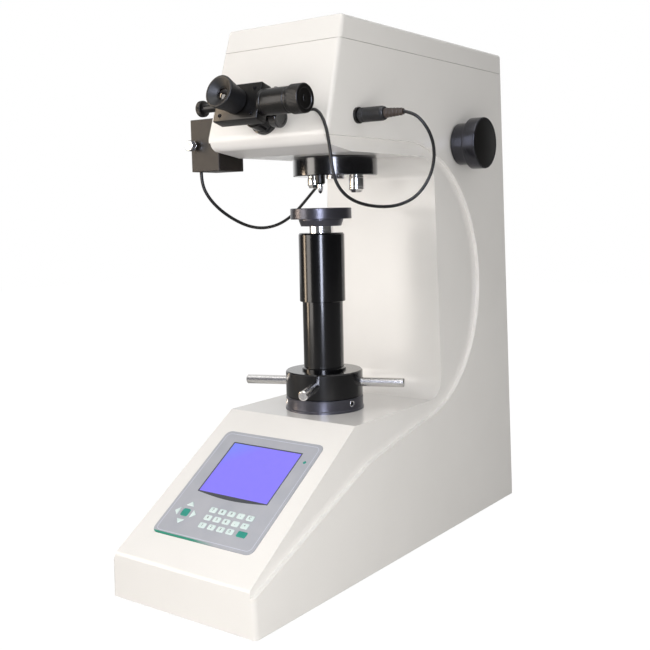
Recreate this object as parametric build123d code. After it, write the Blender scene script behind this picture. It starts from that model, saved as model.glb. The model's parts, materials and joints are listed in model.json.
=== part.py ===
from build123d import *
import math
import os

# Bench hardness tester. Millimetres. The origin is on the bench, under the axis of the elevating
# screw; +Z is up, -Y is the operator's side and +X the side with the load knob.

# ---- driving dimensions -------------------------------------------------------------------------
HEIGHT = 630.0            # bench to the top of the cover
FRONT_Y = -262.0          # front face of the base
REAR_Y = 322.0            # flat back
HALF_WIDTH_BASE = 103.5   # the sides draw in as they rise
HALF_WIDTH_TOP = 82.6
BASE_FRONT_Z = 51.0       # top of the base's short front face
TABLE_Y = -69.0           # crease where the sloping panel meets the flat top of the base
TABLE_Z = 177.0
COLUMN_Y = 130.0          # front face of the column, so the throat is 130 deep
HEAD_Z = 483.0            # underside of the head
HEAD_CHAMFER_Y = -52.0    # where the underside turns up to the head's front
NOSE_Y = -107.2           # lower front edge of the head
NOSE_Z = 491.5
NOSE_RADIUS = 13.0
BROW_Y = -64.3            # upper front edge of the head
THROAT_RADIUS = 28.0
EDGE_RADIUS = 5.0
WALL = 8.0
SIDE_WALL = 11.0
FOOT_GAP = 1.5            # the casting hangs this far above the bench; the base plate stands on it
BAND_DEPTH = 5.0          # the band round the throat lies this far inside the sides
BAND_CENTRE = (63.0, 327.0)
BAND_RADIUS = 172.0
SEAM_Z = 603.0            # joint between the casting and its top cover
SEAM_GAP = 0.8

SCREW_RADIUS = 14.7
SCREW_PITCH = 6.0
ANVIL_TOP_Z = 421.6
ANVIL_RADIUS = 37.0
COLLAR_TOP_Z = 192.5
HUB_RADIUS = 47.3
HUB_TOP_Z = 224.5
ROD_Z = 209.8
ROD_REACH = 100.0
ROD_ANGLE = 22.0
ROD_RADIUS = 5.6
SLEEVE_BOTTOM_Z = 309.0
SLEEVE_TOP_Z = 391.8
LOWER_SLEEVE_TOP_Z = 325.0
LOWER_SLEEVE_RADIUS = 24.6

TURRET_Y = 31.4           # turret axis, behind the spindle axis by the radius of its stations
TURRET_RADIUS = 52.0
TURRET_TOP_Z = 482.6
TURRET_BOTTOM_Z = 460.0

EYE_Z = 520.6             # where the eyepiece axis leaves the head's front
LEVER_PIVOT = (-35.0, 578.0)   # Y, Z of the load lever's pin
LEVER_BOTTOM_Z = 567.5
CAM_AXIS = (280.0, 545.0)      # Y, Z of the loading cam's shaft
CAM_RADIUS = 15.4
CAM_THROW = 5.5
STACK_Y = 226.0           # axis of the weight stack

KNOB_Y = 189.4
KNOB_Z = 500.5
PLUG_Y = -45.0

FIT = 0.05                # radial clearance of a running fit
CLEAR = 0.3               # clearance between curved pieces on different bodies

FACE_RISE = (BROW_Y - NOSE_Y) / (HEIGHT - NOSE_Z)
EYE_Y = NOSE_Y + (EYE_Z - NOSE_Z) * FACE_RISE
EYE_TILT = math.atan(FACE_RISE)
SLOPE_RISE = (TABLE_Z - BASE_FRONT_Z) / (TABLE_Y - FRONT_Y)
SLOPE_TILT = math.atan(SLOPE_RISE)


# ---- helpers ------------------------------------------------------------------------------------
def half_width(z):
    """Half the casting's width at height z."""
    return HALF_WIDTH_BASE - (HALF_WIDTH_BASE - HALF_WIDTH_TOP) * z / HEIGHT


def turned(points, at=Plane.XY):
    """A turned piece: (radius, height) points about the plane's normal."""
    outline = Polyline(*[(r, 0, h) for r, h in points], close=True)
    return at * revolve(make_face(outline), Axis.Z, 360)


def tube(outer, inner, low, high, at=Plane.XY):
    """A plain ring between two heights above a plane."""
    return turned([(inner, low), (outer, low), (outer, high), (inner, high)], at)


def disc(radius, low, high, at=Plane.XY, x=0.0, y=0.0):
    """A plain cylinder between two heights above a plane."""
    body = Pos(x, y, low) * Cylinder(radius, high - low, align=(Align.CENTER, Align.CENTER, Align.MIN))
    return at * body


def block(x, y, z, at=Plane.XY):
    """A box given by its low and high x, y and z."""
    body = Box(x[1] - x[0], y[1] - y[0], z[1] - z[0], align=(Align.MIN, Align.MIN, Align.MIN))
    return at * (Pos(x[0], y[0], z[0]) * body)


def along_x(x, y, z):
    """A plane whose normal is +X, with its own y axis up the Z axis."""
    return Plane(origin=(x, y, z), x_dir=(0, 1, 0), z_dir=(1, 0, 0))


def edges_of_length(body, length):
    """The edges of a block that have one given length, such as its upright corners."""
    return body.edges().filter_by(lambda e: abs(e.length - length) < 1e-6)


def save(name, shape):
    """Write one node."""
    export_step(shape, f"parts/{name}.step")


os.makedirs("parts", exist_ok=True)

EYE = Plane(origin=(0, EYE_Y, EYE_Z), x_dir=(1, 0, 0),
            z_dir=(0, -math.cos(EYE_TILT), math.sin(EYE_TILT)))
SLOPE = Plane(origin=(0, FRONT_Y, BASE_FRONT_Z), x_dir=(1, 0, 0),
              z_dir=(0, -math.sin(SLOPE_TILT), math.cos(SLOPE_TILT)))


# ---- casting ------------------------------------------------------------------------------------
def side_outline():
    """The casting seen from the side, as a face in the YZ plane."""
    corners = [
        (FRONT_Y, FOOT_GAP), (FRONT_Y, BASE_FRONT_Z), (TABLE_Y, TABLE_Z), (COLUMN_Y, TABLE_Z),
        (COLUMN_Y, HEAD_Z), (HEAD_CHAMFER_Y, HEAD_Z), (NOSE_Y, NOSE_Z), (BROW_Y, HEIGHT),
        (REAR_Y, HEIGHT), (REAR_Y, FOOT_GAP),
    ]
    face = make_face(Polyline(*[(0, y, z) for y, z in corners], close=True))

    def corner(y, z):
        return face.vertices().sort_by_distance((0, y, z))[0]

    for y, z, radius in (
        (COLUMN_Y, TABLE_Z, THROAT_RADIUS), (COLUMN_Y, HEAD_Z, THROAT_RADIUS),
        (NOSE_Y, NOSE_Z, NOSE_RADIUS), (FRONT_Y, BASE_FRONT_Z, 5.0), (BROW_Y, HEIGHT, 3.0),
        (REAR_Y, HEIGHT, 4.0),
    ):
        face = fillet(corner(y, z), radius)
    return face


def both_ways(face, half):
    """A YZ face extruded to both sides of the centre plane."""
    return extrude(face, half, dir=(1, 0, 0), both=True)


def tapered(inset):
    """The space between the two drawn-in sides, each moved inwards by inset."""
    low, high = -20.0, HEIGHT + 20.0
    a = half_width(low) - inset
    b = half_width(high) - inset
    front, rear = FRONT_Y - 20.0, REAR_Y + 20.0
    face = make_face(Polyline((-a, front, low), (a, front, low), (b, front, high), (-b, front, high),
                              close=True))
    return extrude(face, rear - front, dir=(0, 1, 0))


def band():
    """The side view of the recessed band that runs round the throat."""
    cy, cz = BAND_CENTRE
    top = cz + BAND_RADIUS
    drop = 20.0                       # the band's lower edge runs this far below the slope
    foot_y = FRONT_Y - 10.0
    foot_z = BASE_FRONT_Z - 12.0
    slope_start = TABLE_Z - drop - 2.0
    touch = cy + 10.0
    low = cz - math.sqrt(BAND_RADIUS ** 2 - (touch - cy) ** 2)
    edge = Polyline((0, cy, top), (0, NOSE_Y - 40.0, top), (0, NOSE_Y - 40.0, TABLE_Z + 60.0),
                    (0, foot_y, BASE_FRONT_Z + 20.0), (0, foot_y, foot_z),
                    (0, TABLE_Y + 20.0, slope_start - 24.0), (0, touch, low))
    arc = ThreePointArc((0, touch, low), (0, cy + BAND_RADIUS, cz), (0, cy, top))
    return make_face(Curve() + [edge, arc])


full_body = both_ways(side_outline(), 140.0) & tapered(0.0)
sides = [e for e in full_body.edges()
         if abs(e.center().X) > HALF_WIDTH_TOP - 4 and e.center().Z > FOOT_GAP + 2
         and abs(e.center().Y - REAR_Y) > 1]
rounded_body = fillet(sides, EDGE_RADIUS)
band_cut = both_ways(band(), 140.0) - tapered(BAND_DEPTH)
outer = rounded_body - band_cut

hollow_outline = offset(side_outline(), amount=-WALL, kind=Kind.INTERSECTION)
cavity = both_ways(hollow_outline, 140.0) & tapered(SIDE_WALL)
above_seam = block((-140, 140), (-320, 360), (SEAM_Z, HEIGHT + 20))
below_seam = block((-140, 140), (-320, 360), (FOOT_GAP + WALL + 5, SEAM_Z))

PLATE_TOP = 5.0
PLATE_X = 92.0
PLATE_Y = (FRONT_Y + 9.0, REAR_Y - 9.0)
COVER_X = 62.0
COVER_Z = (112.0, 560.0)
COVER_THICK = 2.0
COVER_SCREWS = [(x, z) for x in (-56.0, 56.0) for z in (120.0, 336.0, 552.0)]
COVER_LAND = 6.0                 # metal left under the heads of the top cover's sunk screws
TOP_SCREWS = [(x, y) for x in (-77.3, 77.3) for y in (-20.0, 290.0)]
SWITCH_AT = (45.0, 62.0)         # X, Z on the back
INLET_AT = (-40.0, 62.0)
LAMP_TUBE = (-60.0, 512.0)       # Y, Z
LAMP_X = (-132.8, -88.2)
LAMP_Y = (-82.0, -38.0)
LAMP_Z = (468.0, 530.0)
SPIGOT_RADIUS = 17.4             # the eyepiece flange's spigot in the head's front
SPIGOT_END = -9.5                # along the eyepiece axis, inside the head
PIPE_RADIUS = 13.0
PIPE_END = -90.0
SOCKETS = [(1, PLUG_Y, 522.0), (-1, 215.0, 540.0)]   # side, Y, Z
WINDOW_S = (100.0, 181.0)        # up the slope from its front edge
BEZEL_S = (38.0, 195.0)
BEZEL_X = 72.0

BEZEL_DEPTH = 2.0                # the bezel is let into the slope by this much
BEZEL_CORNER = 8.0
TAP_RADIUS = 2.05                # clearance hole of an M4 screw

pocket_x = BEZEL_X + CLEAR
pocket_s = (BEZEL_S[0] - CLEAR, BEZEL_S[1] + CLEAR)
bezel_pocket = block((-pocket_x, pocket_x), pocket_s, (-BEZEL_DEPTH, 5.0), SLOPE)
bezel_pocket = fillet(edges_of_length(bezel_pocket, BEZEL_DEPTH + 5.0), BEZEL_CORNER + CLEAR)


def rear_hole(x, z, width, height, depth=20.0):
    """A rectangular hole through the back wall."""
    across = (x - width / 2, x + width / 2)
    return block(across, (REAR_Y - depth, REAR_Y + 5), (z - height / 2, z + height / 2))


def rear_bore(x, z, depth):
    """A round screw hole in the back."""
    start = Plane(origin=(x, REAR_Y + 5, z), x_dir=(1, 0, 0), z_dir=(0, -1, 0))
    return disc(TAP_RADIUS, 0, depth + 5, start)


def housing_cuts():
    """Everything that is cut through the casting's walls."""
    yield cavity & below_seam
    yield block((-78, 78), (FRONT_Y + 22, REAR_Y - 22), (-1, FOOT_GAP + WALL + 6))
    yield block((-PLATE_X - 0.5, PLATE_X + 0.5), (PLATE_Y[0] - 0.5, PLATE_Y[1] + 0.5), (-1, PLATE_TOP))
    yield disc(24.05, TABLE_Z - 20, TABLE_Z + 5)
    yield disc(13.5, HEAD_Z - 5, HEAD_Z + 20)
    yield block((-26, 26), (-4.5, 4.5), (HEAD_Z - 5, HEAD_Z + 20))
    yield disc(12.05, HEAD_Z - 5, HEAD_Z + 20, y=TURRET_Y)
    yield disc(SPIGOT_RADIUS + FIT, -20, 5, EYE)
    yield disc(9.05, -100, -60, along_x(0, *LAMP_TUBE))
    yield disc(6.0 + FIT, 60, 100, along_x(0, KNOB_Y, KNOB_Z))
    for side, y, z in SOCKETS:
        yield disc(6.05, *sorted((side * 60, side * 100)), along_x(0, y, z))
    middle = sum(COVER_Z) / 2
    tall = COVER_Z[1] - COVER_Z[0]
    yield rear_hole(0, middle, 2 * COVER_X - 24, tall - 24)
    yield rear_hole(0, middle, 2 * COVER_X + 0.4, tall + 0.4, COVER_THICK)
    for x, z in COVER_SCREWS:
        yield rear_bore(x, z, 12)
    yield rear_hole(*SWITCH_AT, 21.4, 27.4)
    yield rear_hole(*INLET_AT, 28.4, 36.4)
    yield bezel_pocket
    yield block((-56, 56), (WINDOW_S[0] - 3, WINDOW_S[1] + 3), (-20, 5), SLOPE)
    yield block((-30, 30), (62, 76), (-20, 5), SLOPE)
    for x, y in TOP_SCREWS:
        yield disc(TAP_RADIUS, SEAM_Z - 16, SEAM_Z + 5, x=x, y=y)


def make_housing():
    body = outer - above_seam
    for cut in housing_cuts():
        body -= cut
    return body


def make_top_cover():
    body = (outer & above_seam) - cavity
    skin = offset(side_outline(), amount=-2.0, kind=Kind.INTERSECTION)
    core = both_ways(skin, 140.0) & tapered(2.0)
    groove = block((-140, 140), (-320, 360), (SEAM_Z, SEAM_Z + SEAM_GAP)) - core
    body -= groove
    for x, y in TOP_SCREWS:
        body -= disc(TAP_RADIUS, SEAM_Z - 5, HEIGHT, x=x, y=y)
        body -= disc(4.1, SEAM_Z + COVER_LAND, HEIGHT + 5, x=x, y=y)
    return body


def cover_screw(at):
    """A socket button-head M4 screw: its head sits on the plane, its shank runs below it."""
    body = turned([(0, -12), (2.0, -12), (2.0, 0), (3.8, 0), (3.4, 1.6), (2.2, 2.2), (0, 2.2)], at)
    return body - at * (Pos(0, 0, 1.0) * extrude(RegularPolygon(1.4, 6), 2))


def together(pieces):
    """Several solids kept in one node."""
    return Compound(children=[p.solid() if hasattr(p, "solid") else p for p in pieces])


def make_base_plate():
    body = block((-PLATE_X, PLATE_X), PLATE_Y, (0, PLATE_TOP))
    return fillet(body.edges().filter_by(Axis.Z), 6.0)


def make_back_cover():
    body = block((-COVER_X, COVER_X), (REAR_Y - COVER_THICK, REAR_Y), COVER_Z)
    body = fillet(body.edges().filter_by(Axis.Y), 5.0)
    for x, z in COVER_SCREWS:
        body -= rear_bore(x, z, 5)
    for row in range(7):
        body -= block((-30, 30), (REAR_Y - 5, REAR_Y + 5), (430 + row * 10, 434 + row * 10))
    return body


save("housing", make_housing())
save("top_cover", make_top_cover())
save("base_plate", make_base_plate())
save("back_cover", make_back_cover())
BACK = dict(x_dir=(-1, 0, 0), z_dir=(0, 1, 0))
cover_screws = [cover_screw(Plane((x, y, SEAM_Z + COVER_LAND))) for x, y in TOP_SCREWS]
cover_screws += [cover_screw(Plane(origin=(x, REAR_Y, z), **BACK)) for x, z in COVER_SCREWS]
save("cover_screws", together(cover_screws))


# ---- sloping control panel ----------------------------------------------------------------------
KEY_PITCH = (13.2, 10.8)
KEY_SIZE = (9.6, 7.0)
KEY_START = (-11.0, 81.0)
KEY_RISE = 0.8
PANEL_TOP = 0.6
ENTER_KEY = (45.0, 59.4)
PAD_CENTRE = (-45.0, 70.3)


def key(x, s, width, height, corner):
    """One domed key of the panel's foil."""
    thick = (PANEL_TOP, PANEL_TOP + KEY_RISE)
    body = block((x - width / 2, x + width / 2), (s - height / 2, s + height / 2), thick, SLOPE)
    return fillet(edges_of_length(body, KEY_RISE), corner)


def arrow(angle):
    """One of the four arrow keys: a triangle that points away from the pad's centre."""
    tip = [(0, 9.5 + 6.0), (-5.5, 9.5), (5.5, 9.5)]
    face = make_face(Polyline(*tip, close=True))
    solid = extrude(face, KEY_RISE)
    return SLOPE * (Pos(PAD_CENTRE[0], PAD_CENTRE[1], PANEL_TOP) * Rot(0, 0, angle) * solid)


def make_bezel():
    body = block((-BEZEL_X, BEZEL_X), BEZEL_S, (-BEZEL_DEPTH, PANEL_TOP), SLOPE)
    body = fillet(edges_of_length(body, BEZEL_DEPTH + PANEL_TOP), BEZEL_CORNER)
    return body - block((-51, 51), (WINDOW_S[0] + 1.5, WINDOW_S[1] - 1.5), (-5, 5), SLOPE)


def make_display():
    glass = block((-50.8, 50.8), (WINDOW_S[0] + 1.7, WINDOW_S[1] - 1.7), (-2.0, 0.2), SLOPE)
    return glass + block((-54, 54), (WINDOW_S[0] - 1, WINDOW_S[1] + 1), (-9.0, -2.0), SLOPE)


def make_keys():
    keys = []
    for row in range(3):
        for column in range(5 if row < 2 else 4):
            x = KEY_START[0] + column * KEY_PITCH[0]
            keys.append(key(x, KEY_START[1] - row * KEY_PITCH[1], *KEY_SIZE, 1.5))
    return together(keys)


def make_control_board():
    body = block((-58, 58), (60, 176), (-14.0, -12.4), SLOPE)
    body -= block((-40, 40), (104, 176), (-15.0, -12.0), SLOPE)
    for x in (-52, 52):
        for s in (66, 88):
            body += disc(3.0, -12.4, -WALL, SLOPE, x=x, y=s)
        body += disc(3.0, -12.4, -9.0, SLOPE, x=x, y=140)
    return body


save("panel_bezel", make_bezel())
save("display_module", make_display())
save("number_keys", make_keys())
save("arrow_keys", together([arrow(a) for a in (0, 90, 180, 270)]))
select_key = disc(5.6, PANEL_TOP, PANEL_TOP + KEY_RISE, SLOPE, x=PAD_CENTRE[0], y=PAD_CENTRE[1])
save("enter_keys", together([key(*ENTER_KEY, 12.6, 7.6, 1.5), select_key]))
save("control_board", make_control_board())


# ---- elevating screw, capstan and anvil ---------------------------------------------------------
def radial(angle, z):
    """A plane on the spindle axis whose normal points outwards at an angle from +X."""
    a = math.radians(angle)
    outwards = (math.cos(a), math.sin(a), 0)
    return Plane(origin=(0, 0, z), x_dir=(-math.sin(a), math.cos(a), 0), z_dir=outwards)


COLLAR_RADIUS = 47.5
COLLAR_SCREWS = (-10.0, 110.0, 230.0)
BEARING_SEAT = 186.0
HUB_BOTTOM_Z = COLLAR_TOP_Z + CLEAR
ROD_SEAT = 30.0


def make_collar():
    body = turned([(20, TABLE_Z), (COLLAR_RADIUS + 1, TABLE_Z), (COLLAR_RADIUS + 1, TABLE_Z + 2),
                   (COLLAR_RADIUS, TABLE_Z + 3), (COLLAR_RADIUS, COLLAR_TOP_Z - 0.8),
                   (COLLAR_RADIUS - 0.8, COLLAR_TOP_Z), (36, COLLAR_TOP_Z), (36, BEARING_SEAT),
                   (20, BEARING_SEAT)])
    for angle in COLLAR_SCREWS:
        body -= disc(2.8, 30, 60, radial(angle, TABLE_Z + 10))
    return body


def make_set_screw(angle):
    at = radial(angle, TABLE_Z + 10)
    return disc(2.75, 37, 46.6, at) - at * (Pos(0, 0, 43) * extrude(RegularPolygon(1.5, 6), 5))


def make_guide_bush():
    body = turned([(SCREW_RADIUS + FIT, 100), (24, 100), (24, 161), (34, 161), (34, TABLE_Z - WALL),
                   (24, TABLE_Z - WALL), (24, TABLE_Z), (SCREW_RADIUS + FIT, TABLE_Z)])
    return body + block((-2.4, 2.4), (SCREW_RADIUS - 2.6, SCREW_RADIUS + 2), (105, 165))


def make_hub():
    body = turned([(22.05, HUB_TOP_Z), (22.05, 199.05), (30.05, 199.05), (30.05, HUB_BOTTOM_Z),
                   (HUB_RADIUS - 1, HUB_BOTTOM_Z), (HUB_RADIUS, HUB_BOTTOM_Z + 1),
                   (HUB_RADIUS, HUB_TOP_Z - 1.5), (HUB_RADIUS - 1.5, HUB_TOP_Z)])
    for k in range(4):
        body -= disc(ROD_RADIUS, ROD_SEAT, 60, radial(ROD_ANGLE + 90 * k, ROD_Z))
    return body


def make_rod(angle):
    r = ROD_RADIUS
    end = ROD_REACH
    profile = [(0, ROD_SEAT), (r, ROD_SEAT), (r, end - 1.2), (r - 1.2, end), (0, end)]
    return turned(profile, radial(angle, ROD_Z))


SLEEVE_SEAT = 384.0
SCREW_TOP = 400.0


def make_screw():
    r = SCREW_RADIUS
    flange = SLEEVE_SEAT - 4
    body = turned([(0, 75), (r - 1.5, 75), (r, 76.5), (r, flange), (18, flange), (18, SLEEVE_SEAT),
                   (r, SLEEVE_SEAT), (r, SCREW_TOP), (9.05, SCREW_TOP), (9.05, 370), (0, 370)])
    return body - block((-2.5, 2.5), (r - 2.9, r + 1), (70, 330))


save("screw_collar", make_collar())
save("collar_set_screws", together([make_set_screw(a) for a in COLLAR_SCREWS]))
save("thrust_bearing", turned([(22, BEARING_SEAT), (35.8, BEARING_SEAT), (35.8, COLLAR_TOP_Z - 3.4),
                               (34.4, COLLAR_TOP_Z - 3.4), (34.4, HUB_BOTTOM_Z - FIT),
                               (22, HUB_BOTTOM_Z - FIT)]))
save("guide_bush", make_guide_bush())
save("capstan_hub", make_hub())
save("capstan_rods", together([make_rod(ROD_ANGLE + 90 * k) for k in range(4)]))
bore = SCREW_RADIUS + FIT
save("screw_nut", turned([(bore, HUB_BOTTOM_Z), (30, HUB_BOTTOM_Z), (30, 199), (22, 199), (22, 250), (bore, 250)]))
r, top = LOWER_SLEEVE_RADIUS, LOWER_SLEEVE_TOP_Z
save("lower_sleeve", turned([(22.3, HUB_TOP_Z), (27, HUB_TOP_Z), (27, HUB_TOP_Z + 2.5), (r, HUB_TOP_Z + 3.5),
                             (r, top - 1), (r - 1, top), (22.3, top)]))
save("elevating_screw", make_screw())
r, low, top = 27.8, SLEEVE_BOTTOM_Z, SLEEVE_TOP_Z
inner = LOWER_SLEEVE_RADIUS + 0.4
save("upper_sleeve", turned([(inner, low), (r - 0.5, low), (r, low + 0.5), (r, top - 2), (r - 1.5, top),
                             (SCREW_RADIUS, top), (SCREW_RADIUS, SLEEVE_SEAT), (inner, SLEEVE_SEAT)]))
r, top = ANVIL_RADIUS, ANVIL_TOP_Z
save("anvil", turned([(0, 372), (9, 372), (9, SCREW_TOP), (24.5, SCREW_TOP), (27, top - 14.4), (27, top - 13.2),
                      (r - 0.6, top - 13.2), (r, top - 12.4), (r, top - 0.8), (r - 0.8, top), (0, top)]))


# ---- turret, objectives and indenter ------------------------------------------------------------
TURRET = Plane(origin=(0, TURRET_Y, 0))
STATION = TURRET_Y
INDENTER_SEAT = TURRET_TOP_Z - 6.1
INDENTER_HEAD = (TURRET_TOP_Z - 4.5, TURRET_TOP_Z - 0.6)
HOLDER_Z = 450.0          # lower end of the indenter's holder
INDENTER_TIP_Z = 439.0


def make_turret_disc():
    low, top, r = TURRET_BOTTOM_Z, TURRET_TOP_Z, TURRET_RADIUS
    bore = 7.0 + FIT
    profile = [(bore, low), (r - 1, low), (r, low + 1), (r, top - 1.5), (r - 1.5, top), (bore, top)]
    body = turned(profile, TURRET)
    body -= disc(6.0 + FIT, low - 5, top + 5)
    body -= disc(13.0, INDENTER_SEAT, top + 5)
    for side in (-1, 1):
        body -= disc(6.0, low - 5, top + 5, x=side * STATION, y=TURRET_Y)
    return body


def make_objective(x, bottom, barrel, nose):
    """A microscope objective that hangs from the turret."""
    at = Plane(origin=(x, TURRET_Y, 0))
    top = TURRET_BOTTOM_Z
    neck = barrel - 0.8
    return turned([(4.0, bottom), (nose, bottom), (nose + 1.2, bottom + 2.5), (barrel, bottom + 4),
                   (barrel, top - 2.5), (neck, top - 1.8), (neck, top), (6.0, top), (6.0, bottom + 6),
                   (4.0, bottom + 6)], at)


save("turret_bearing", turned([(7.0 + FIT, TURRET_TOP_Z + 0.3), (12, TURRET_TOP_Z + 0.3), (12, HEAD_Z + WALL),
                               (16.5, HEAD_Z + WALL), (16.5, 497), (7.0 + FIT, 497)], TURRET))
save("turret_disc", make_turret_disc())
low = TURRET_BOTTOM_Z
save("turret_shaft", turned([(0, low - 3), (11, low - 3), (11, low), (7, low), (7, 497.3), (11.5, 497.3),
                             (11.5, 503), (0, 503)], TURRET))
objectives = [make_objective(STATION, 439.5, 9.4, 6.2), make_objective(-STATION, 446.5, 9.4, 7.0)]
save("objectives", together(objectives))
low, high = INDENTER_HEAD
save("indenter", turned([(0, HOLDER_Z), (4.2, HOLDER_Z), (5.9, HOLDER_Z + 1.5), (6.0, low), (11.5, low),
                         (11.5, high), (0, high)]))
low = INDENTER_TIP_Z
save("indenter_tip", turned([(0, low), (0.4, low), (1.2, low + 1), (3.6, HOLDER_Z - 0.8), (3.7, HOLDER_Z),
                             (0, HOLDER_Z)]))
save("indenter_spring", tube(11.0, 7.0, INDENTER_SEAT, INDENTER_HEAD[0]))


# ---- microscope tube and prism ------------------------------------------------------------------
def make_microscope_body():
    """The casting that holds the prism over the turret and carries light to the eyepiece."""
    body = block((-14, 14), (-14, 13), (HEAD_Z + WALL, 513))
    body += disc(PIPE_RADIUS, PIPE_END, SPIGOT_END, EYE)
    body += disc(SPIGOT_RADIUS, SPIGOT_END - 4.5, SPIGOT_END, EYE)
    body -= block((-40, 40), (13, 60), (440, 560))
    body -= block((-40, 40), (-60, 60), (440, HEAD_Z + WALL))
    body -= disc(9.0, PIPE_END + 6, 0, EYE)
    body -= disc(7.0, HEAD_Z, 500)
    return body - disc(8.0, -30, 0, along_x(0, *LAMP_TUBE))


save("microscope_body", make_microscope_body())
pipe = disc(PIPE_RADIUS, PIPE_END, SPIGOT_END, EYE)
save("illuminator_tube", tube(9.0, 7.0, LAMP_X[1], 0, along_x(0, *LAMP_TUBE)) - pipe)


# ---- eyepiece and micrometer --------------------------------------------------------------------
FLANGE_END = 19.5
TUBE_RADIUS = 15.0
BLOCK_S = (35.0, 51.4)
BLOCK_X = 31.0
BLOCK_V = (-20.5, 20.5)
BOSS_RADIUS = 12.0
BOSS_END = BLOCK_S[1] + 5.0
DRUM_S = sum(BLOCK_S) / 2
DRUM_LINE = Plane(origin=EYE.from_local_coords((0, 0, DRUM_S)), x_dir=(0, 1, 0), z_dir=(1, 0, 0))
SPINDLE_RADIUS = 4.0
SLEEVE_X = (BLOCK_X, 69.7)
SLEEVE_RADIUS = 14.0
DRUM_X = (70.0, 86.4)
DRUM_RADIUS = 15.4
INDEX_X = (-54.5, -61.7)
INDEX_RADIUS = 9.05
GLAND_X = 56.0
CLAMP_ANGLE = -10.0
CLAMP_S = 12.0
CUP_END = 81.9
LENS_RADIUS = 7.0


def make_flange():
    bore = TUBE_RADIUS + FIT
    end = FLANGE_END
    body = turned([(bore, SPIGOT_END), (SPIGOT_RADIUS, SPIGOT_END), (SPIGOT_RADIUS, 0), (18.6, 0), (18.6, 5),
                   (16.8, 5.8), (16.8, end - 0.6), (16.2, end), (bore, end)], EYE)
    return body - disc(3.0 + FIT, TUBE_RADIUS - 1, 30, clamp_plane())


def clamp_plane():
    """The clamp screw's plane: on the eyepiece axis, its normal pointing out of the flange."""
    a = math.radians(CLAMP_ANGLE)
    local = Plane(origin=(0, 0, CLAMP_S), x_dir=(0, 0, 1), z_dir=(math.cos(a), math.sin(a), 0))
    return Plane(EYE.location * local.location)


def make_micrometer_body():
    body = block((-BLOCK_X, BLOCK_X), BLOCK_V, BLOCK_S, EYE)
    body = chamfer(body.edges().filter_by(Axis.X), 1.5)
    body += disc(TUBE_RADIUS, -8.0, BLOCK_S[0], EYE) + disc(BOSS_RADIUS, BLOCK_S[1], BOSS_END, EYE)
    body -= disc(10.0, -20, BOSS_END + 5, EYE)
    return body - disc(SPINDLE_RADIUS + FIT, -60, -20, DRUM_LINE)


def make_encoder_sleeve():
    bore = SPINDLE_RADIUS + FIT
    body = tube(SLEEVE_RADIUS, bore, *SLEEVE_X, DRUM_LINE)
    at = EYE * Plane(origin=(GLAND_X, 0, DRUM_S), x_dir=(1, 0, 0), z_dir=(0, 0, -1))
    stub = turned([(0, 11), (3.6, 11), (3.6, 15), (2.6, 16), (2.6, 20), (0, 20)], at)
    return (body + stub) - disc(bore, *SLEEVE_X, DRUM_LINE)


def make_drum():
    r = DRUM_RADIUS
    a, b = DRUM_X
    spindle = BLOCK_X + 5
    return turned([(0, spindle), (SPINDLE_RADIUS, spindle), (SPINDLE_RADIUS, a), (r - 1.5, a), (r, a + 1.5),
                   (r, b - 1.2), (r - 1.2, b), (0, b)], DRUM_LINE)


def make_index_knob():
    """A mushroom knob: a slim neck and a rounded head."""
    start = -BLOCK_X - CLEAR
    a, b = INDEX_X
    r = INDEX_RADIUS
    return turned([(0, -21), (SPINDLE_RADIUS, -21), (SPINDLE_RADIUS, start), (4.8, start), (4.8, a + 0.5),
                   (r - 0.7, a), (r, a - 0.7), (r, b + 1.8), (r - 1.1, b + 0.5), (r - 3.5, b), (0, b)],
                  DRUM_LINE)


def make_eyecup():
    low = BLOCK_S[1] + 1.0
    a, b = BOSS_END + CLEAR, CUP_END
    bore = BOSS_RADIUS + CLEAR
    return turned([(bore, low), (14.2, low), (14.2, a), (14.8, a + 6), (17.8, b - 2.5), (17.8, b - 0.8),
                   (17.0, b), (15.4, b), (LENS_RADIUS, b - 6.5), (LENS_RADIUS, a), (bore, a)], EYE)


def make_clamp_screw():
    profile = [(0, 15.6), (3, 15.6), (3, 21.5), (10.3, 21.5), (10.8, 22.3), (10.8, 31.2), (10.0, 32), (0, 32)]
    return turned(profile, clamp_plane())


save("eyepiece_flange", make_flange())
save("clamp_screw", make_clamp_screw())
save("micrometer_body", make_micrometer_body())
save("encoder_sleeve", make_encoder_sleeve())
save("measuring_drum", make_drum())
save("index_knob", make_index_knob())
save("eyecup", make_eyecup())
save("eye_lens", disc(LENS_RADIUS, CUP_END - 10.5, CUP_END - 7.0, EYE))


# ---- lamp box -----------------------------------------------------------------------------------
LAMP_WALL = 3.0
LAMP_SCREW = Plane(origin=(-127.0, LAMP_Y[0], 499.0), x_dir=(1, 0, 0), z_dir=(0, -1, 0))


def make_lamp_housing():
    body = fillet(block(LAMP_X, LAMP_Y, LAMP_Z).edges(), 0.8)
    inside = [(a + LAMP_WALL, b - LAMP_WALL) for a, b in (LAMP_X, LAMP_Y, LAMP_Z)]
    body -= block(*inside)
    body -= disc(7.0, -95, -80, along_x(0, *LAMP_TUBE))
    return body - disc(2.5 + FIT, -5, 5, LAMP_SCREW)


def make_lamp_bulb():
    at = along_x(LAMP_X[0], *LAMP_TUBE)
    return disc(8.0, LAMP_WALL, 16, at) + turned([(0, 16), (5, 16), (5.5, 24), (3, 28), (0, 29)], at)


def make_lamp_screw():
    return turned([(0, -8), (2.5, -8), (2.5, 3), (6.0, 3), (6.4, 3.6), (6.4, 10.4), (5.6, 11), (0, 11)],
                  LAMP_SCREW)


save("lamp_housing", make_lamp_housing())
save("lamp_bulb", make_lamp_bulb())
save("lamp_screw", make_lamp_screw())


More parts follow.
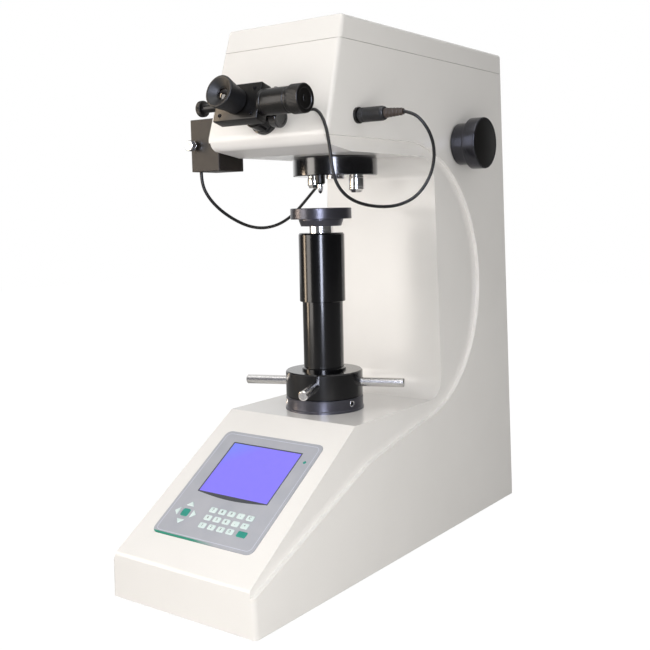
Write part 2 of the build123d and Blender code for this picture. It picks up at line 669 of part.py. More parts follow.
# ---- loading gear: lever, yoke, weights, cam ----------------------------------------------------
CHEEK_X = (18.0, 25.0)
YOKE_X = (19.0, 24.0)


def make_lever_bracket():
    y, z = LEVER_PIVOT
    body = block((-CHEEK_X[1], CHEEK_X[1]), (y - 10, y - 2), (530, 548))
    for side in (-1, 1):
        x = sorted((side * CHEEK_X[0], side * CHEEK_X[1]))
        slot = block(sorted((side * 18.6, side * 26)), (-3.4, 3.4), (530, 550))
        body += block(x, (y - 10, y + 10), (HEAD_Z + WALL, z + 10))
        body += block(x, (y + 10, 8), (536, 542)) - slot
    return body - disc(4.0 + FIT, -40, 40, along_x(0, y, z))


def make_load_lever():
    y, z = LEVER_PIVOT
    body = block((-8, 8), (y, 296), (LEVER_BOTTOM_Z, LEVER_BOTTOM_Z + 22))
    body += disc(10.5, -17.5, 17.5, along_x(0, y, z))
    return body + disc(4.0, -25, 25, along_x(0, y, z))


def make_load_yoke():
    low = TURRET_TOP_Z + 1.6
    top = LEVER_BOTTOM_Z - 0.5
    body = tube(12.0, 8.0, low, low + 4)
    for side in (-1, 1):
        body += block(sorted((side * 10.5, side * YOKE_X[1])), (-3, 3), (low, low + 4))
        body += block(sorted((side * YOKE_X[0], side * YOKE_X[1])), (-3, 3), (low, top))
    return body + block((-YOKE_X[1], YOKE_X[1]), (-3, 3), (top - 5, top))


DISC_THICK = 11.0
STACK_BOTTOM = 302.0


def make_weight_hanger():
    y = STACK_Y
    top = LEVER_BOTTOM_Z + 22
    body = disc(5.0, 296, 562, x=0, y=y) + disc(30.0, 296, STACK_BOTTOM, x=0, y=y)
    stirrup = block((-13, 13), (y - 6, y + 6), (556, top + 6.5))
    return body + (stirrup - block((-9.5, 9.5), (y - 7, y + 7), (561, top + 0.5)))


def make_weight(index):
    low = STACK_BOTTOM + index * DISC_THICK
    at = Plane(origin=(0, STACK_Y, 0))
    return turned([(5.3, low), (45, low), (46, low + 1), (46, low + DISC_THICK - 1), (45, low + DISC_THICK),
                   (5.3, low + DISC_THICK)], at)


def make_loading_cam():
    y, z = CAM_AXIS
    return disc(CAM_RADIUS, -8, 8, along_x(0, y, z + CAM_THROW)) + disc(4.0, -38, 12, along_x(0, y, z))


def make_loading_motor():
    y, z = CAM_AXIS
    body = disc(22, -70, -24, along_x(0, y, z))
    body += block((-90, -70), (y - 25, y + 25), (z - 25, z + 25))
    return (body & cavity) - disc(4.0 + FIT, -38, -20, along_x(0, y, z))


save("lever_bracket", make_lever_bracket())
save("load_lever", make_load_lever())
save("load_yoke", make_load_yoke())
save("weight_hanger", make_weight_hanger())
save("weight_discs", together([make_weight(i) for i in range(5)]))
save("loading_cam", make_loading_cam())
save("loading_motor", make_loading_motor())


# ---- load selector ------------------------------------------------------------------------------
KNOB_FACE = half_width(KNOB_Z - 33.5) + 0.6
KNOB_AT = along_x(KNOB_FACE, KNOB_Y, KNOB_Z)


def make_load_knob():
    body = turned([(0, 0), (27.5, 0), (27.5, 21), (33.5, 24), (33.5, 34.5), (30.5, 37), (0, 37)], KNOB_AT)
    return body - disc(6.0, -1, 20, KNOB_AT)


def make_selector():
    base = KNOB_FACE
    body = disc(6.0, 14 - base, 20, KNOB_AT)
    for index, reach in enumerate((20.0, 17.0, 14.0)):
        x = 20 - base + index * 14
        body += disc(11.0, x, x + 6, KNOB_AT) + disc(9.0, x, x + 6, KNOB_AT, y=-(reach - 9.0))
    return body


save("load_knob", make_load_knob())
save("selector_cams", make_selector())


# ---- sockets, plugs and cords -------------------------------------------------------------------
EYEPIECE_ROUTE = [
    (56.0, -120.25, 527.43), (56.0, -110.7, 524.47), (62.0, -103.8, 525.5), (70.0, -102.5, 526.5),
    (77.5, -103.5, 521.5), (84.0, -106.0, 514.0), (91.5, -111.0, 503.0), (98.0, -116.5, 489.5),
    (102.5, -120.0, 476.5), (105.0, -121.0, 461.0), (107.0, -117.0, 446.0), (110.7, -108.0, 434.5),
    (115.5, -95.0, 427.0), (121.0, -80.0, 423.0), (128.0, -64.0, 421.0), (138.0, -47.0, 422.0),
    (150.5, -33.0, 429.5), (159.5, -24.0, 443.0), (167.0, -20.5, 460.5), (172.0, -25.0, 480.0),
    (172.5, -34.0, 497.0), (166.5, -42.0, 511.5), (157.0, -45.0, 519.5), (146.0, -45.0, 522.0),
]
LAMP_ROUTE = [
    (-126.0, -73.0, 468.0), (-126.0, -73.0, 453.5), (-122.0, -65.5, 436.5), (-117.0, -51.0, 421.5),
    (-113.5, -29.0, 409.0), (-111.0, -4.0, 400.0), (-109.5, 24.0, 397.0), (-108.0, 54.0, 401.5),
    (-106.0, 81.0, 413.5), (-105.5, 103.0, 428.5), (-106.0, 121.0, 441.0), (-107.5, 138.0, 451.5),
    (-111.0, 156.0, 463.0), (-119.0, 173.0, 475.0), (-131.0, 188.0, 486.0), (-147.0, 200.0, 496.0),
    (-161.0, 208.5, 508.5), (-168.5, 213.0, 523.0), (-160.5, 215.0, 536.5), (-146.0, 215.0, 540.0),
]
EYEPIECE_CORD_RADIUS = 1.75
LAMP_CORD_RADIUS = 2.0
PLUG_TAIL = 146.0


def make_cord(name, points, radius):
    """A cord's tube: straight runs joined by arcs as large as the runs allow."""
    route = [Vector(*p) for p in points]
    bends = []
    for a, b, c in zip(route, route[1:], route[2:]):
        half_turn = math.radians((b - a).get_angle(c - b)) / 2
        bends.append(0.45 * min((b - a).length, (c - b).length) / math.tan(half_turn))
    path = FilletPolyline(*route, radius=bends)
    section = Plane(origin=path @ 0, z_dir=path % 0) * Circle(radius)
    solid = sweep(section, path=path)
    print(name, "length", round(path.length, 1), "least bend", round(min(bends), 1))
    return solid


def outwards(side, y, z):
    """A plane on the centre line whose normal points out of one side."""
    return Plane(origin=(0, y, z), x_dir=(0, side, 0), z_dir=(side, 0, 0))


def make_socket(side, y, z):
    """A round chassis socket in a side wall, its shell standing proud of the paint."""
    face = half_width(z)
    flat = outwards(side, y, z)
    shell = turned([(0, face - 20), (6, face - 20), (6, face), (0, face)], flat)
    flange = turned([(0, face - 2), (9, face - 2), (9, face + 3), (0, face + 3)], flat) - tapered(0.0)
    return (shell & tapered(0.0)) + flange


def make_plug(side, y, z, end_run):
    """A round plug whose moulded tail ends square to the cord's last run."""
    face = half_width(z) + 3
    end = PLUG_TAIL + 3
    body = turned([(0, face), (7.0, face), (7.0, face + 2), (8.1, face + 3), (8.1, 122), (7.2, 125), (5.2, 125),
                   (4.4, end), (0, end)], outwards(side, y, z))
    leaving, tail = (Vector(*p) for p in end_run)
    cut = Plane(origin=tail, z_dir=leaving - tail)
    return body - disc(20, 0, 20, cut)


save("cord_sockets", together([make_socket(*s) for s in SOCKETS]))
save("eyepiece_plug", make_plug(*SOCKETS[0], EYEPIECE_ROUTE[-2:]))
save("lamp_plug", make_plug(*SOCKETS[1], LAMP_ROUTE[-2:]))
save("eyepiece_cord", make_cord("eyepiece cord", EYEPIECE_ROUTE, EYEPIECE_CORD_RADIUS))
save("lamp_cord", make_cord("lamp cord", LAMP_ROUTE, LAMP_CORD_RADIUS))


# ---- mains parts --------------------------------------------------------------------------------
def make_power_inlet():
    x, z = INLET_AT
    body = block((x - 14, x + 14), (REAR_Y - 26, REAR_Y), (z - 18, z + 18))
    body += block((x - 15.5, x + 15.5), (REAR_Y, REAR_Y + 2.5), (z - 21, z + 21))
    recess = block((x - 12, x + 12), (REAR_Y - 15, REAR_Y + 5), (z - 14, z + 3))
    body -= recess
    for offset_x in (-7, 0, 7):
        body += block((x + offset_x - 1, x + offset_x + 1), (REAR_Y - 16, REAR_Y - 3), (z - 8, z - 4))
    return body


ROCKER_TILT = 10.0
ROCKER_PIVOT = (REAR_Y - 3.0, SWITCH_AT[1])


def make_switch_frame():
    x, z = SWITCH_AT
    body = block((x - 10.5, x + 10.5), (REAR_Y - 20, REAR_Y), (z - 13.5, z + 13.5))
    body += block((x - 12, x + 12), (REAR_Y, REAR_Y + 2), (z - 15, z + 15))
    body -= block((x - 8.3, x + 8.3), (REAR_Y - 12, REAR_Y + 5), (z - 12, z + 12))
    y, pivot_z = ROCKER_PIVOT
    return body - disc(1.5 + FIT, x - 9.5, x + 9.5, along_x(0, y, pivot_z))


def make_rocker():
    x, z = SWITCH_AT
    y, pivot_z = ROCKER_PIVOT
    face = make_face(Polyline((x - 8, y - 2, z - 10), (x - 8, y + 5.4, z - 10.6), (x - 8, y + 3.8, z),
                              (x - 8, y + 5.4, z + 10.6), (x - 8, y - 2, z + 10), close=True))
    body = extrude(face, 16, dir=(1, 0, 0)) + disc(1.5, x - 9.3, x + 9.3, along_x(0, y, pivot_z))
    return Pos(0, y, pivot_z) * Rot(ROCKER_TILT, 0, 0) * Pos(0, -y, -pivot_z) * body


def make_transformer():
    low, high = PLATE_TOP, 62.0
    body = block((-55, 5), (190, 250), (low, high))
    return body + block((-45, -5), (182, 258), (low + 12, high - 12))


save("power_inlet", make_power_inlet())
save("switch_frame", make_switch_frame())
save("switch_rocker", make_rocker())
save("transformer", make_transformer())
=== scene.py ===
"""Bench hardness tester: the finishes and the fine pieces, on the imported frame."""
import json
import math
import bmesh
import bpy
from mathutils import Matrix, Vector


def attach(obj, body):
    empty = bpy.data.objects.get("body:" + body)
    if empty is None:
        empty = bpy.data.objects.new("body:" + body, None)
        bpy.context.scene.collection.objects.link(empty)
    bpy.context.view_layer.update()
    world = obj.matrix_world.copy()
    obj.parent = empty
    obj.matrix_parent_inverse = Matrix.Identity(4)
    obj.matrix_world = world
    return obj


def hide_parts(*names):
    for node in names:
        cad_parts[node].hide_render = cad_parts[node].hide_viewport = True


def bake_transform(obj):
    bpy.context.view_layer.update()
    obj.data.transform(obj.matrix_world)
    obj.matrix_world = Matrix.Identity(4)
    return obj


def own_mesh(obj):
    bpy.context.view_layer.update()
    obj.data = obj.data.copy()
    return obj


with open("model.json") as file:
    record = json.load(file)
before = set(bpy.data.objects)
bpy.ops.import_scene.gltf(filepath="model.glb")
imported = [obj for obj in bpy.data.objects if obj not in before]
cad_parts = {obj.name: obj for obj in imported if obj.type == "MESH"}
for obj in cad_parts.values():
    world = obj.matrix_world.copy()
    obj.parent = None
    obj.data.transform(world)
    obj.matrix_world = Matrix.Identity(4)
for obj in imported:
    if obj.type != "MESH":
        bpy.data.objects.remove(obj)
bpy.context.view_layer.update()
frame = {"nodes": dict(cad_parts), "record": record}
nodes = frame["nodes"]

MM = 0.001

# ---- places shared with the solids --------------------------------------------------------------
SIDE, AHEAD, UP = Vector((1, 0, 0)), Vector((0, 1, 0)), Vector((0, 0, 1))
BODY_HEIGHT = 630.0
HALF_FOOT = 103.5                                  # half the body's width at the bench
DRAW_IN = 20.9                                     # each side leans in by this over the height
EYE_TILT = math.atan(42.9 / 138.5)                 # the head's front leans back by this
EYE_ORIGIN = Vector((0, -98.19, 520.6)) * MM       # where the eyepiece axis leaves the head
EYE_OUT = Vector((0, -math.cos(EYE_TILT), math.sin(EYE_TILT)))
EYE_UP = Vector((0, math.sin(EYE_TILT), math.cos(EYE_TILT)))
SLOPE_TILT = math.atan(126.0 / 193.0)
SLOPE_ORIGIN = Vector((0, -262.0, 51.0)) * MM      # lower edge of the sloping panel, on the centre line
SLOPE_OUT = Vector((0, -math.sin(SLOPE_TILT), math.cos(SLOPE_TILT)))
SLOPE_UP = Vector((0, math.cos(SLOPE_TILT), math.sin(SLOPE_TILT)))
DRUM_S = 43.2                                      # along the eyepiece axis to the drum's axis
CLAMP_S = 12.0                                     # and to the clamp screw's axis
CLAMP_DROP = math.radians(10)                      # the clamp screw points this far below level


def frame_at(origin, x, y, z):
    """The matrix that takes local x, y, z to these directions at an origin."""
    turn = Matrix((x, y, z)).transposed().to_4x4()
    return Matrix.Translation(origin) @ turn


ON_EYE = frame_at(EYE_ORIGIN, SIDE, EYE_UP, EYE_OUT)
ON_SLOPE = frame_at(SLOPE_ORIGIN, SIDE, SLOPE_UP, SLOPE_OUT)
DRUM_ORIGIN = ON_EYE @ Vector((0, 0, DRUM_S * MM))
ON_DRUM = frame_at(DRUM_ORIGIN, EYE_UP, SIDE.cross(EYE_UP), SIDE)
CLAMP_OUT = math.cos(CLAMP_DROP) * SIDE - math.sin(CLAMP_DROP) * EYE_UP
ON_CLAMP = frame_at(ON_EYE @ Vector((0, 0, CLAMP_S * MM)), EYE_OUT, CLAMP_OUT.cross(EYE_OUT), CLAMP_OUT)
ON_LAMP_SCREW = frame_at(Vector((-127.0, -82.0, 499.0)) * MM, SIDE, UP, -AHEAD)
ON_KNOB = frame_at(Vector((88.6, 189.4, 500.5)) * MM, AHEAD, UP, SIDE)
ON_BACK = frame_at(Vector((0, 322.0, 0)) * MM, -SIDE, UP, AHEAD)


# ---- camera -------------------------------------------------------------------------------------
CAMERA_PLACE = Vector((683.58, -928.85, 418.03)) * MM
CAMERA_TURN = (36.244, -6.874, -1.197)             # yaw, pitch and roll, in degrees
PICTURE_WIDTH, FOCAL_LENGTH = 650.0, 946.27        # both in pixels


def make_camera():
    """The camera looks from the operator's right, level with the anvil and slightly down."""
    yaw, pitch, roll = (math.radians(a) for a in CAMERA_TURN)
    forward = Vector((-math.sin(yaw) * math.cos(pitch), math.cos(yaw) * math.cos(pitch), math.sin(pitch)))
    level = Vector((math.cos(yaw), math.sin(yaw), 0))
    upright = level.cross(forward)
    right = math.cos(roll) * level + math.sin(roll) * upright
    up = -math.sin(roll) * level + math.cos(roll) * upright
    data = bpy.data.cameras.new("camera")
    data.sensor_width = 36.0
    data.lens = FOCAL_LENGTH * data.sensor_width / PICTURE_WIDTH
    data.clip_start, data.clip_end = 0.05, 60.0
    camera = bpy.data.objects.new("camera", data)
    camera.matrix_world = frame_at(CAMERA_PLACE, right, up, -forward)
    bpy.context.scene.collection.objects.link(camera)
    bpy.context.scene.camera = camera


make_camera()


# ---- materials ----------------------------------------------------------------------------------
def linear(code):
    """An sRGB hex colour as linear red, green, blue and alpha."""
    parts = [int(code[i:i + 2], 16) / 255 for i in (0, 2, 4)]
    return [c / 12.92 if c <= 0.04045 else ((c + 0.055) / 1.055) ** 2.4 for c in parts] + [1.0]


def add(tree, kind, settings=None, inputs=None):
    """One node: its own settings by name, and its inputs, each a value or another node's output."""
    made = tree.nodes.new(kind)
    for name, value in (settings or {}).items():
        setattr(made, name, value)
    for key, value in (inputs or {}).items():
        socket = made.inputs[key]
        if isinstance(value, bpy.types.NodeSocket):
            tree.links.new(value, socket)
        else:
            socket.default_value = value
    return made


def start(name, sockets):
    """A Principled material: constants sit on the shader's own sockets."""
    material = bpy.data.materials.new(name)
    material.use_nodes = True
    tree = material.node_tree
    tree.nodes.clear()
    shader = add(tree, "ShaderNodeBsdfPrincipled", inputs=sockets)
    add(tree, "ShaderNodeOutputMaterial", inputs={"Surface": shader.outputs[0]})
    return material, tree, shader


def speckle(tree, size, detail=3.0, stretch=(1, 1, 1)):
    """Noise on Object coordinates whose grains are size millimetres across."""
    place = add(tree, "ShaderNodeTexCoord").outputs["Object"]
    place = add(tree, "ShaderNodeMapping", inputs={"Vector": place, "Scale": stretch}).outputs[0]
    return add(tree, "ShaderNodeTexNoise",
               inputs={"Vector": place, "Scale": 1.0 / (size * MM), "Detail": detail}).outputs[0]


def between(tree, factor, low, high, at=(0.3, 0.7)):
    """A ramp from one sRGB colour to another."""
    ramp = add(tree, "ShaderNodeValToRGB", inputs={0: factor})
    for stop, place, code in zip(ramp.color_ramp.elements, at, (low, high)):
        stop.position = place
        stop.color = linear(code)
    return ramp.outputs[0]


def spread(tree, factor, low, high):
    """Noise stretched to run from low to high, for roughness."""
    return add(tree, "ShaderNodeMapRange",
               inputs={"Value": factor, "From Min": 0.3, "From Max": 0.7, "To Min": low, "To Max": high}).outputs[0]


def relief(tree, shader, height, depth):
    """Bump of a real depth in millimetres."""
    bump = add(tree, "ShaderNodeBump", inputs={"Height": height, "Distance": depth * MM, "Strength": 1.0})
    tree.links.new(bump.outputs[0], shader.inputs["Normal"])


def paint(name, light, dark, roughness, peel, **sockets):
    """Stove-baked paint on a filled casting: even colour, with the faint dimples of sprayed enamel."""
    material, tree, shader = start(name, {"Roughness": roughness, "IOR": 1.5, **sockets})
    tree.links.new(between(tree, speckle(tree, 60.0, 2.0), dark, light, (0.1, 0.9)), shader.inputs["Base Color"])
    tree.links.new(spread(tree, speckle(tree, 40.0), roughness - 0.01, roughness + 0.01), shader.inputs["Roughness"])
    relief(tree, shader, speckle(tree, 1.8, 1.0), peel)
    return material


def metal(name, light, dark, roughness, size, depth, stretch=(1, 1, 1)):
    """Bare metal: the grain its tool left, drawn along the cut by stretch."""
    material, tree, shader = start(name, {"Metallic": 1.0, "Roughness": roughness})
    grain = speckle(tree, size, 4.0, stretch)
    tree.links.new(between(tree, grain, dark, light), shader.inputs["Base Color"])
    tree.links.new(spread(tree, grain, roughness * 0.75, roughness * 1.25), shader.inputs["Roughness"])
    relief(tree, shader, grain, depth)
    return material


def plastic(name, light, dark, roughness, size, depth, **sockets):
    """Moulded plastic or rubber: a spark-eroded mould leaves an even fine grain."""
    material, tree, shader = start(name, {"Roughness": roughness, "IOR": 1.5, **sockets})
    tree.links.new(between(tree, speckle(tree, 14.0), dark, light), shader.inputs["Base Color"])
    grain = speckle(tree, size, 2.0)
    tree.links.new(spread(tree, grain, roughness - 0.06, roughness + 0.06), shader.inputs["Roughness"])
    relief(tree, shader, grain, depth)
    return material


def rings(tree, pitch):
    """Level lathe grooves, pitch millimetres apart, on Object coordinates."""
    place = add(tree, "ShaderNodeTexCoord").outputs["Object"]
    wave = add(tree, "ShaderNodeTexWave", {"wave_type": "BANDS", "bands_direction": "Z"},
               {"Vector": place, "Scale": 0.314 / (pitch * MM), "Distortion": 0.6, "Detail": 2.0})
    return wave.outputs[0]


def turned_black():
    """Blued tool steel straight off the lathe: dark, with fine level rings that catch the light."""
    material, tree, shader = start("blued_turned_steel", {"Metallic": 0.75, "Roughness": 0.3})
    cut = rings(tree, 0.9)
    tree.links.new(between(tree, cut, "2e2e33", "6a6a74", (0.2, 0.9)), shader.inputs["Base Color"])
    relief(tree, shader, cut, 0.02)
    return material


def display():
    """A backlit liquid-crystal display behind a clear window: blue-violet, with a painted reflection that makes it
    paler in its upper left.
    """
    material, tree, shader = start("backlit_lcd", {"Roughness": 0.12, "IOR": 1.5, "Emission Strength": 0.62})
    place = add(tree, "ShaderNodeTexCoord").outputs["Object"]
    axes = add(tree, "ShaderNodeSeparateXYZ", inputs={0: place})
    # Painted reflection: a ramp from the window's upper left makes the emitted colour paler there.
    across = add(tree, "ShaderNodeMapRange", inputs={"Value": axes.outputs[0], "From Min": -0.05, "From Max": 0.05})
    up = add(tree, "ShaderNodeMapRange", inputs={"Value": axes.outputs[1], "From Min": -0.113, "From Max": -0.177})
    both = add(tree, "ShaderNodeMath", {"operation": "ADD"}, {0: across.outputs[0], 1: up.outputs[0]})
    glow = between(tree, both.outputs[0], "98a6ff", "a598ff", (0.12, 0.5))
    tree.links.new(glow, shader.inputs["Emission Color"])
    tree.links.new(between(tree, speckle(tree, 8.0), "2018a0", "2a20b0"), shader.inputs["Base Color"])
    return material


def foil():
    """Screen-printed polyester foil of the keypad: fine matt grain, with a green line along its lower edge."""
    material, tree, shader = start("printed_polyester_foil", {"Roughness": 0.34, "IOR": 1.5})
    place = add(tree, "ShaderNodeTexCoord").outputs["Object"]
    axes = add(tree, "ShaderNodeSeparateXYZ", inputs={0: place})
    line = add(tree, "ShaderNodeMapRange",
               inputs={"Value": axes.outputs[1], "From Min": -0.2283, "From Max": -0.2288, "To Min": 0.0})
    fade = add(tree, "ShaderNodeMapRange",
               inputs={"Value": axes.outputs[0], "From Min": 0.02, "From Max": -0.01, "To Min": 0.0})
    amount = add(tree, "ShaderNodeMath", {"operation": "MULTIPLY"}, {0: line.outputs[0], 1: fade.outputs[0]})
    grey = between(tree, speckle(tree, 30.0), "a9acb6", "b3b5bd")
    mixed = add(tree, "ShaderNodeMix", {"data_type": "RGBA"},
                {0: amount.outputs[0], 6: grey, 7: linear("1f8f77")})
    tree.links.new(mixed.outputs[2], shader.inputs["Base Color"])
    relief(tree, shader, speckle(tree, 0.6, 1.0), 0.01)
    return material


def lens():
    """Coated optical glass, dark because the tube behind it is black."""
    material, tree, shader = start("coated_optical_glass", {"Roughness": 0.03, "IOR": 1.52, "Coat Weight": 0.6})
    tree.links.new(between(tree, speckle(tree, 12.0), "0f0a08", "1e120e"), shader.inputs["Base Color"])
    return material


def bulb_glass():
    """Clear lamp glass with a warm filament glow behind it."""
    material, tree, shader = start("lamp_glass", {"Roughness": 0.05, "IOR": 1.5})
    tree.links.new(between(tree, speckle(tree, 5.0), "e8dfc8", "f6efdc"), shader.inputs["Base Color"])
    return material


# ---- finishes, one for each material slot of the record -----------------------------------------
FINISH = {
    "casting_paint": paint("stove_enamel_casting", "f3f1ee", "efedea", 0.2, 0.01),
    "cover_paint": paint("stove_enamel_cover", "f2f0ed", "efedea", 0.2, 0.01),
    "plate_steel": metal("oiled_plate_steel", "6f6f72", "5a5a5d", 0.42, 3.0, 0.01, (1, 12, 1)),
    "screw_black": metal("black_oxide_steel", "2b2b2e", "1b1b1e", 0.38, 1.2, 0.005),
    "bezel_plastic": foil(),
    "display_glass": display(),
    "key_plastic": plastic("pale_key_foil", "dfeceb", "d2e4e3", 0.36, 0.7, 0.008),
    "key_teal": plastic("teal_key_foil", "1f9c8c", "188a7c", 0.36, 0.7, 0.008),
    "board_green": plastic("solder_resist", "1c5a34", "154a2a", 0.4, 2.0, 0.01),
    "black_gloss": paint("black_lacquer_on_steel", "0a0a0d", "060608", 0.2, 0.004,
                         **{"Coat Weight": 0.3, "Coat Roughness": 0.08, "Specular IOR Level": 0.35}),
    "black_satin": plastic("black_anodised_aluminium", "0e0c0b", "090807", 0.32, 0.5, 0.006,
                           **{"Specular IOR Level": 0.4}),
    "anvil_steel": turned_black(),
    "chrome": metal("hard_chrome", "f2f1ef", "e4e2e0", 0.2, 2.0, 0.001),
    "ground_steel": metal("ground_steel", "b9b9bd", "a3a3a8", 0.24, 2.0, 0.004, (1, 14, 1)),
    "bearing_steel": metal("bearing_steel", "b0b0b4", "9c9ca2", 0.2, 1.5, 0.003),
    "bronze": metal("turned_bronze", "c29a5c", "a67f45", 0.3, 1.5, 0.006),
    "aluminium": metal("milled_aluminium", "c3c4c8", "adaeb4", 0.32, 2.0, 0.006, (10, 1, 1)),
    "diamond_holder": metal("lapped_holder_steel", "dcdce0", "cfcfd4", 0.16, 1.0, 0.002),
    "lens_glass": lens(),
    "rubber": plastic("moulded_rubber", "101011", "0b0b0c", 0.5, 0.9, 0.01),
    "plug_plastic": plastic("moulded_abs", "1d1d1f", "151517", 0.4, 0.8, 0.01),
    "weight_iron": metal("cast_iron", "5a5a5d", "47474a", 0.5, 1.5, 0.03),
    "coil_iron": metal("varnished_lamination", "7a6244", "5c4930", 0.45, 1.0, 0.02, (1, 1, 8)),
    "lamp_glass": bulb_glass(),
}
for part in frame["record"]["subparts"]:
    mesh = nodes[part["node"]].data
    mesh.materials.clear()
    mesh.materials.append(FINISH[part["material_slot"]])

# a few pieces have a finish of their own
nodes["cord_sockets"].data.materials[0] = FINISH["black_satin"]
# The lamp housing's black is much lighter than the other black finishes: a painted sheen for the light its front face
# catches.
nodes["lamp_housing"].data.materials[0] = plastic("black_box_painted_sheen", "26221f", "1f1b19", 0.42, 1.2, 0.01,
                                                  **{"Specular IOR Level": 0.3})
nodes["screw_collar"].data.materials[0] = FINISH["anvil_steel"]
POLISHED = paint("polished_black_lacquer", "0b0b0e", "070709", 0.2, 0.003,
                 **{"Coat Weight": 1.0, "Coat Roughness": 0.12})
nodes["turret_disc"].data.materials[0] = POLISHED
nodes["capstan_rods"].data.materials[0] = metal("satin_chrome_rod", "e8e6e4", "dedcda", 0.24, 0.8, 0.0003)
# This ink is real print on the keys and round the display, and also a painted shadow under the display window.
INK_AND_SHADE = plastic("printed_ink_and_painted_shade", "3a4048", "343a42", 0.5, 0.4, 0.001)


# ---- shapes in mesh code ------------------------------------------------------------------------
def finish_mesh(bm, name, matrix, body, slot, replaced=None, material=None):
    """Close a piece: outward normals, smooth faces with true edges, finish, body."""
    bmesh.ops.recalc_face_normals(bm, faces=bm.faces)
    bmesh.ops.transform(bm, matrix=matrix, verts=bm.verts)
    mesh = bpy.data.meshes.new(name)
    bm.to_mesh(mesh)
    bm.free()
    mesh.shade_smooth()
    mesh.set_sharp_from_angle(angle=math.radians(38))
    mesh.materials.append(material or FINISH[slot])
    piece = bpy.data.objects.new(name, mesh)
    bpy.context.scene.collection.objects.link(piece)
    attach(piece, body)
    if replaced:
        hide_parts(replaced)
    return piece


def softened(points, corner):
    """A closed outline with each corner off the axis rounded, by at most corner millimetres."""
    outline = []
    for before, here, after in zip(points[-1:] + points[:-1], points, points[1:] + points[:1]):
        here = Vector(here)
        back, ahead = Vector(before) - here, Vector(after) - here
        reach = min(corner, 0.45 * back.length, 0.45 * ahead.length)
        if here.x < 1e-6 or abs(back.normalized().dot(ahead.normalized())) > 0.99:
            outline.append(here)
            continue
        start, end = here + back.normalized() * reach, here + ahead.normalized() * reach
        for t in (0.0, 0.33, 0.67, 1.0):
            outline.append((1 - t) ** 2 * start + 2 * t * (1 - t) * here + t * t * end)
    return outline


def lathe(name, points, matrix, body, slot, replaced=None, corner=0.5, steps=72, grip=None, material=None):
    """A turned piece from (radius, height) millimetres; grip = (low, high, ribs, depth) cuts ribs."""
    bm = bmesh.new()
    low, high, ribs, depth = grip or (0, 0, 0, 0)
    steps = ribs * 6 if ribs else steps
    loops = []
    for radius, height in softened(points, corner):
        if radius < 1e-6:
            loops.append([bm.verts.new((0, 0, height * MM))])
            continue
        ring = []
        for k in range(steps):
            turn = math.tau * k / steps
            cut = depth * (0.5 - 0.5 * math.cos(ribs * turn)) if low < height < high else 0.0
            r = (radius - cut) * MM
            ring.append(bm.verts.new((r * math.cos(turn), r * math.sin(turn), height * MM)))
        loops.append(ring)
    for one, two in zip(loops, loops[1:] + loops[:1]):
        for k in range(steps):
            n = (k + 1) % steps
            if len(one) == 1 and len(two) > 1:
                bm.faces.new((one[0], two[k], two[n]))
            elif len(two) == 1 and len(one) > 1:
                bm.faces.new((one[k], one[n], two[0]))
            elif len(one) > 1:
                bm.faces.new((one[k], one[n], two[n], two[k]))
    return finish_mesh(bm, name, matrix, body, slot, replaced, material)


def slab(name, low, high, matrix, body, slot, replaced=None, bevel=0.8, material=None):
    """A machined block with broken edges."""
    bm = bmesh.new()
    size = [(b - a) * MM for a, b in zip(low, high)]
    middle = Vector([(a + b) / 2 * MM for a, b in zip(low, high)])
    bmesh.ops.create_cube(bm, size=1.0, matrix=Matrix.Translation(middle) @ Matrix.Diagonal((*size, 1.0)))
    bmesh.ops.bevel(bm, geom=bm.edges[:], offset=bevel * MM, segments=3, affect="EDGES", profile=0.5)
    return finish_mesh(bm, name, matrix, body, slot, replaced, material)


def rounded_box(x, y, width, height, corner):
    """The outline of a key, in millimetres."""
    outline = []
    for quarter, (sx, sy) in enumerate(((1, 1), (-1, 1), (-1, -1), (1, -1))):
        cx, cy = x + sx * (width / 2 - corner), y + sy * (height / 2 - corner)
        for k in range(5):
            turn = math.pi / 2 * (quarter + k / 4)
            outline.append((cx + corner * math.cos(turn), cy + corner * math.sin(turn)))
    return outline


def domes(name, outlines, body, slot, replaced):
    """Foil keys: each outline rises through shrinking loops to a low crown."""
    bm = bmesh.new()
    for outline in outlines:
        cx = sum(p[0] for p in outline) / len(outline)
        cy = sum(p[1] for p in outline) / len(outline)
        loops = []
        for share, height in ((1.0, 0.55), (1.0, 1.05), (0.96, 1.25), (0.86, 1.36), (0.6, 1.4)):
            loops.append([bm.verts.new(((cx + (x - cx) * share) * MM, (cy + (y - cy) * share) * MM, height * MM))
                          for x, y in outline])
        for one, two in zip(loops, loops[1:]):
            for k, vert in enumerate(one):
                n = (k + 1) % len(one)
                bm.faces.new((vert, one[n], two[n], two[k]))
        bm.faces.new(loops[-1])
        bm.faces.new(loops[0][::-1])
    return finish_mesh(bm, name, ON_SLOPE, body, slot, replaced)


def marks(name, words, matrix, body, slot, material):
    """Printed figures: (text, x, y, height) in millimetres, lying on the plane."""
    bm = bmesh.new()
    for text, x, y, height in words:
        data = bpy.data.curves.new("figure", "FONT")
        data.body = text
        data.align_x, data.align_y = "CENTER", "CENTER"
        data.size = height * MM * 1.4
        data.extrude = 0.02 * MM
        holder = bpy.data.objects.new("figure", data)
        flat = bpy.data.meshes.new_from_object(holder)
        flat.transform(Matrix.Translation((x * MM, y * MM, 0)))
        bm.from_mesh(flat)
        bpy.data.objects.remove(holder)
        bpy.data.curves.remove(data)
        bpy.data.meshes.remove(flat)
    return finish_mesh(bm, name, matrix, body, slot, None, material)


